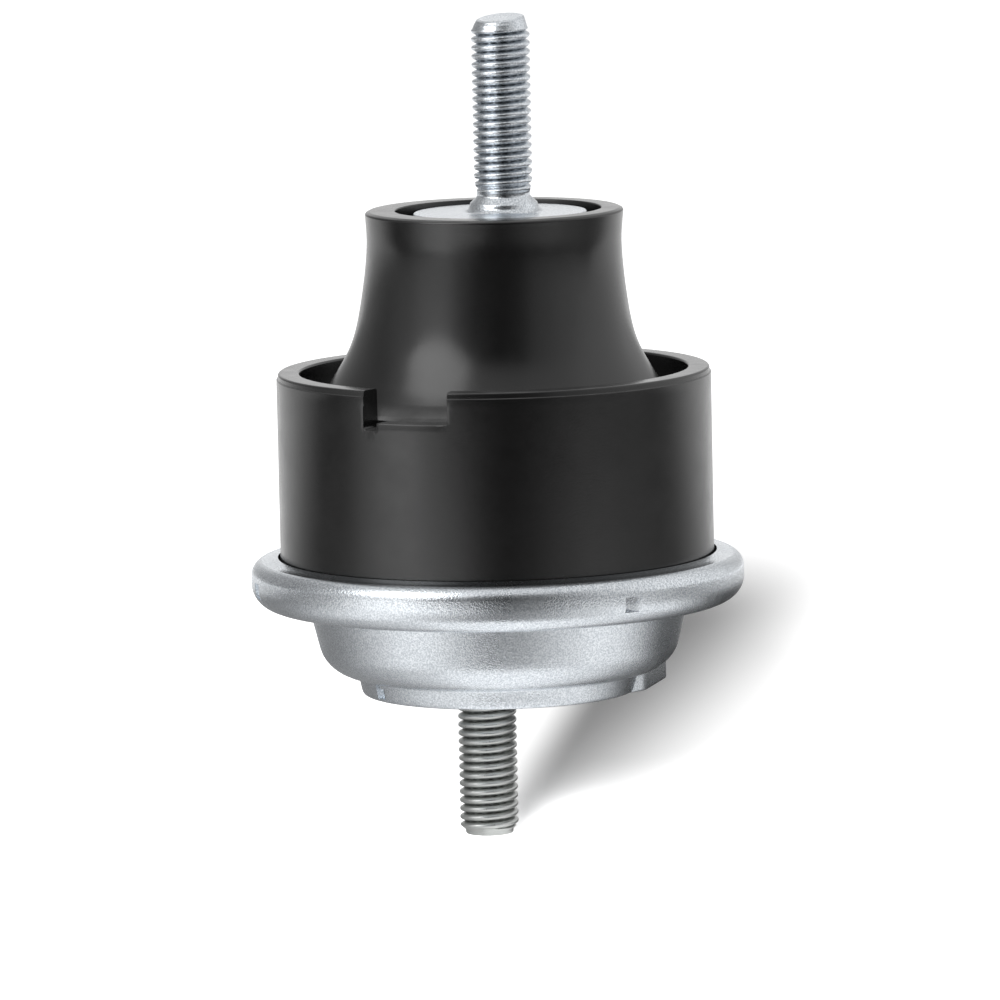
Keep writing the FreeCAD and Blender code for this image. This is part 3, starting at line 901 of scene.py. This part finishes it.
def make_zinc(settings, name, grain_strength, threaded):
    """Zinc-plated steel: bright and bluish, with the small crystals that a blasted pressing keeps."""
    finishes = settings.finishes
    material, tree, output, place = new_material(name)
    # crystals are about 0.3 mm across
    crystals = noise(tree, place, 3000.0, 1.0, 0.5)
    # wiping and chromate tone vary over some 15 mm
    cloud = noise(tree, place, 65.0, 3.0, 0.5)
    tone = ramp(tree, crystals, 0.35, 0.65, 0.0, 0.6)
    plated = blend(tree, tone, rgba(finishes.zinc), rgba(finishes.zinc_dark))
    if threaded:
        # painted shade: the roots of the thread are darkened more the deeper they lie
        root = add_node(tree, "ShaderNodeAttribute", {"attribute_name": "thread_depth"}).outputs["Fac"]
        plated = blend(tree, ramp(tree, root, 0.35, 1.0, 0.0, 0.45), plated, (0.16, 0.17, 0.18, 1.0))
    add_surface(
        tree,
        output,
        Base_Color=plated,
        Metallic=1.0,
        Roughness=ramp(tree, cloud, 0.3, 0.7, 0.22, 0.3),
        Normal=bump(tree, crystals, grain_strength, 0.1 * MM),
    )
    return material


def make_stud_steel(settings):
    """Rolled steel thread with a thin oil film: darker than zinc, with specks, and roots made grey by
    painted shade.
    """
    material, tree, output, place = new_material("rolled_steel_oiled")
    # tool marks and specks are about 0.3 mm across
    specks = noise(tree, place, 3200.0, 2.0, 0.6)
    root = add_node(tree, "ShaderNodeAttribute", {"attribute_name": "thread_depth"}).outputs["Fac"]
    # painted shade: the roots of the thread are darkened more the deeper they lie
    dark = ramp(tree, root, 0.3, 1.0, 0.0, 0.45)
    add_surface(
        tree,
        output,
        Base_Color=blend(tree, dark, rgba(settings.finishes.steel), (0.06, 0.06, 0.06, 1.0)),
        Metallic=1.0,
        Roughness=ramp(tree, specks, 0.3, 0.7, 0.25, 0.42),
        Normal=bump(tree, specks, 0.35, 0.06 * MM),
    )
    return material


def make_casting(settings):
    """Die-cast aluminium: pale grey and fairly rough, with the faint mottle of a die."""
    material, tree, output, place = new_material("die_cast_aluminium")
    # die mottle is about 1 mm across
    mottle = noise(tree, place, 900.0, 3.0, 0.5)
    add_surface(
        tree,
        output,
        Base_Color=rgba(settings.finishes.casting),
        Metallic=1.0,
        Roughness=ramp(tree, mottle, 0.3, 0.7, 0.4, 0.55),
        Normal=bump(tree, mottle, 0.3, 0.05 * MM),
    )
    return material


def round_brightness(tree, axes, stops):
    """Brightness that changes with the angle from the camera, from a list of angles and values."""
    front = maths(tree, "MULTIPLY", axes["Y"], -1.0)
    turn = maths(tree, "ARCTAN2", axes["X"], front)
    made = add_node(tree, "ShaderNodeValToRGB", {}, {"Fac": ramp(tree, turn, -math.pi, math.pi)})
    made.color_ramp.interpolation = "EASE"
    elements = made.color_ramp.elements
    elements[0].position = 0.0
    elements[1].position = 1.0
    for place, (angle, bright) in enumerate(stops):
        if place == 0:
            element = elements[0]
        elif place == len(stops) - 1:
            element = elements[len(elements) - 1]
        else:
            element = elements.new((angle + 180) / 360)
        element.color = (bright, bright, bright, 1.0)
    return made.outputs["Color"]


def shadow_fan(tree, axes):
    """Share of the card's own glow that gives way to the shadow, behind the object to its right."""
    # the right border widens with the root of the distance behind the axis, in metres
    widening, border_start = 0.15, -0.03
    behind = maths(tree, "SQRT", maths(tree, "MAXIMUM", axes["Y"], 0.0))
    border = maths(tree, "MULTIPLY_ADD", behind, widening, border_start)
    fan = ease(tree, maths(tree, "SUBTRACT", border, axes["X"]), -0.037, 0.013)
    # the left border is straight and leans a little to the right
    lean = 0.1
    left = maths(tree, "MULTIPLY_ADD", axes["Y"], -lean, axes["X"])
    # it starts at the axis and fades out far behind it
    borders = ((left, -0.01, 0.005), (axes["Y"], -0.01, 0.03), (axes["Y"], 0.52, 0.3))
    for value, low, high in borders:
        fan = maths(tree, "MULTIPLY", fan, ease(tree, value, low, high))
    return fan


def make_floor(settings):
    """White studio card: matt, white to the eye, and painted unevenly light and dark where the metal
    mirrors it.
    """
    material, tree, output, place = new_material("studio_card_white")
    axes = axes_of(tree, place)
    path = add_node(tree, "ShaderNodeLightPath").outputs
    # the eye sees the card glow white all round the shadow
    white = ramp(tree, shadow_fan(tree, axes), 0.0, 1.0, 0.95, 0.02)
    eye = maths(tree, "MULTIPLY", path["Is Camera Ray"], white)
    # metal and glass see the same white behind the object
    mirror = maths(tree, "MAXIMUM", path["Is Glossy Ray"], path["Is Transmission Ray"])
    mirror = maths(tree, "MULTIPLY", mirror, ease(tree, axes["Y"], 0.1, 0.5))
    # the painted light and shade on the card, which the metal mirrors, changes with the distance from
    # the axis
    far = add_node(tree, "ShaderNodeVectorMath", {"operation": "LENGTH"}, {0: place}).outputs["Value"]
    room = round_brightness(tree, axes, CARD_BENEATH)
    for ring, start, end in CARD_RINGS:
        room = blend(tree, ease(tree, far, start, end), room, round_brightness(tree, axes, ring))
    shade = blend(tree, path["Is Camera Ray"], room, rgba(settings.finishes.floor))
    card = add_node(tree, "ShaderNodeBsdfDiffuse", {}, {"Color": shade})
    glow = {"Color": (1, 1, 1, 1), "Strength": maths(tree, "MAXIMUM", eye, mirror)}
    shine = add_node(tree, "ShaderNodeEmission", {}, glow)
    both = add_node(tree, "ShaderNodeAddShader", {}, {0: card.outputs[0], 1: shine.outputs[0]})
    tree.links.new(both.outputs[0], output.inputs["Surface"])
    return material


# Studio


def build_floor(settings):
    """Round white card under the lower stud."""
    bm = bmesh.new()
    bmesh.ops.create_circle(bm, cap_ends=True, radius=9.0, segments=96)
    mesh = bpy.data.meshes.new("studio_floor")
    bm.to_mesh(mesh)
    bm.free()
    mesh.materials.append(make_floor(settings))
    floor = bpy.data.objects.new("studio_floor", mesh)
    floor.location.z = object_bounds()[0].z
    bpy.context.scene.collection.objects.link(floor)
    floor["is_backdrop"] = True


def build_world():
    """White surroundings: white to the eye, and unevenly bright round the object as metal mirrors it."""
    world = bpy.data.worlds.new("studio_room")
    bpy.context.scene.world = world
    world.use_nodes = True
    tree = world.node_tree
    tree.nodes.clear()
    output = tree.nodes.new("ShaderNodeOutputWorld")
    axes = axes_of(tree, add_node(tree, "ShaderNodeTexCoord").outputs["Generated"])
    overhead = ease(tree, axes["Z"], 0.6, 0.9)
    room = blend(tree, overhead, round_brightness(tree, axes, ROOM), (0.8, 0.8, 0.8, 1.0))
    path = add_node(tree, "ShaderNodeLightPath").outputs
    mirror = maths(tree, "MAXIMUM", path["Is Glossy Ray"], path["Is Transmission Ray"])
    lit = blend(tree, mirror, 0.12, room, kind="FLOAT")
    strength = blend(tree, path["Is Camera Ray"], lit, 1.0, kind="FLOAT")
    shine = add_node(tree, "ShaderNodeBackground", {}, {"Color": (1, 1, 1, 1), "Strength": strength})
    tree.links.new(shine.outputs[0], output.inputs["Surface"])


def add_softbox(name, angle, height_angle, distance, width, power, mirrored):
    """Round softbox that faces the object, at an angle from the camera and over the horizon."""
    light = bpy.data.lights.new(name, "AREA")
    light.shape = "ELLIPSE"
    light.size = width
    light.size_y = width
    light.energy = power
    lamp = bpy.data.objects.new(name, light)
    turn, rise = math.radians(angle), math.radians(height_angle)
    away = at_bearing(turn, distance * math.cos(rise), distance * math.sin(rise))
    lamp.location = LAMP_TARGET + away
    lamp.rotation_mode = "QUATERNION"
    lamp.rotation_quaternion = (-away).to_track_quat("-Z", "Y")
    lamp.visible_camera = False
    lamp.visible_glossy = mirrored
    bpy.context.scene.collection.objects.link(lamp)


def build_camera(studio):
    """Long-lens camera in front of the mount, slightly above it and a little rolled."""
    data = bpy.data.cameras.new("studio_camera")
    data.sensor_width = 36.0
    data.sensor_fit = "HORIZONTAL"
    data.lens = studio.lens
    data.clip_start = 0.1
    data.clip_end = 50.0
    camera = bpy.data.objects.new("studio_camera", data)
    back = Vector((0, -math.cos(studio.elevation), math.sin(studio.elevation)))
    turn = (-back).to_track_quat("-Z", "Y").to_matrix() @ Matrix.Rotation(studio.roll, 3, "Z")
    right = turn @ Vector((1, 0, 0))
    up = turn @ Vector((0, 1, 0))
    target = Vector((0, 0, studio.aim_height)) + right * studio.aim_right + up * studio.aim_up
    camera.rotation_mode = "QUATERNION"
    camera.rotation_quaternion = turn.to_quaternion()
    camera.location = target + back * studio.distance
    bpy.context.scene.collection.objects.link(camera)
    bpy.context.scene.camera = camera


class MOUNT_OT_studs(bpy.types.Operator):
    """Builds both threaded studs"""

    bl_idname = "mount.studs"
    bl_label = "Threaded studs"

    def execute(self, context):
        settings = context.scene.engine_mount
        build_upper_stud(settings, make_zinc(settings, "zinc_plated_rolled_thread", 0.25, True))
        build_lower_stud(settings, make_stud_steel(settings))
        return {"FINISHED"}


class MOUNT_OT_rubber(bpy.types.Operator):
    """Builds the rubber moulding"""

    bl_idname = "mount.rubber"
    bl_label = "Rubber moulding"

    def execute(self, context):
        settings = context.scene.engine_mount
        build_rubber(settings, make_rubber(settings))
        return {"FINISHED"}


class MOUNT_OT_cup(bpy.types.Operator):
    """Builds the pressed cup"""

    bl_idname = "mount.cup"
    bl_label = "Pressed cup"

    def execute(self, context):
        settings = context.scene.engine_mount
        build_cup(settings, make_zinc(settings, "zinc_plated_pressed_sheet", 0.5, False))
        return {"FINISHED"}


class MOUNT_OT_inside(bpy.types.Operator):
    """Gives the pieces inside the mount their finishes"""

    bl_idname = "mount.inside"
    bl_label = "Inner pieces"

    def execute(self, context):
        settings = context.scene.engine_mount
        casting = make_casting(settings)
        rubber = bpy.data.materials["moulded_rubber_satin_black"]
        finishes = {
            "inner_core": casting,
            "upper_channel_plate": casting,
            "lower_channel_plate": casting,
            "outer_ring": bpy.data.materials["rolled_steel_oiled"],
            "decoupler": rubber,
            "bellows": rubber,
        }
        for name, finish in finishes.items():
            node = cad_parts[name]
            node.data.materials.clear()
            node.data.materials.append(finish)
        return {"FINISHED"}


class MOUNT_OT_studio(bpy.types.Operator):
    """Builds the floor, the light and the camera"""

    bl_idname = "mount.studio"
    bl_label = "Studio"

    def execute(self, context):
        settings = context.scene.engine_mount
        context.scene.view_settings.view_transform = "Standard"
        build_floor(settings)
        build_world()
        for lamp in LAMPS:
            add_softbox(*lamp)
        build_camera(settings.studio)
        return {"FINISHED"}


class MOUNT_PT_panel(bpy.types.Panel):
    bl_label = "Engine Mount"
    bl_idname = "MOUNT_PT_panel"
    bl_space_type = "VIEW_3D"
    bl_region_type = "UI"
    bl_category = "Engine Mount"

    def draw(self, context):
        settings = context.scene.engine_mount
        for label, group in (
            ("Studs", settings.studs),
            ("Rubber", settings.rubber),
            ("Cup", settings.cup),
            ("Finishes", settings.finishes),
            ("Studio", settings.studio),
        ):
            box = self.layout.box()
            box.label(text=label)
            for name in group.__annotations__:
                box.prop(group, name)
        for operator in OPERATORS:
            self.layout.operator(operator.bl_idname)


GROUPS = (StudSizes, RubberSizes, CupSizes, Finishes, StudioSizes, MountSettings)
OPERATORS = (MOUNT_OT_studs, MOUNT_OT_rubber, MOUNT_OT_cup, MOUNT_OT_inside, MOUNT_OT_studio)


def register():
    for made in GROUPS + OPERATORS + (MOUNT_PT_panel,):
        bpy.utils.register_class(made)
    bpy.types.Scene.engine_mount = bpy.props.PointerProperty(type=MountSettings)


def unregister():
    del bpy.types.Scene.engine_mount
    for made in (MOUNT_PT_panel,) + OPERATORS[::-1] + GROUPS[::-1]:
        bpy.utils.unregister_class(made)


def main():
    register()
    bpy.ops.mount.studs()
    bpy.ops.mount.rubber()
    bpy.ops.mount.cup()
    bpy.ops.mount.inside()
    bpy.ops.mount.studio()


if __name__ == "__main__":
    main()
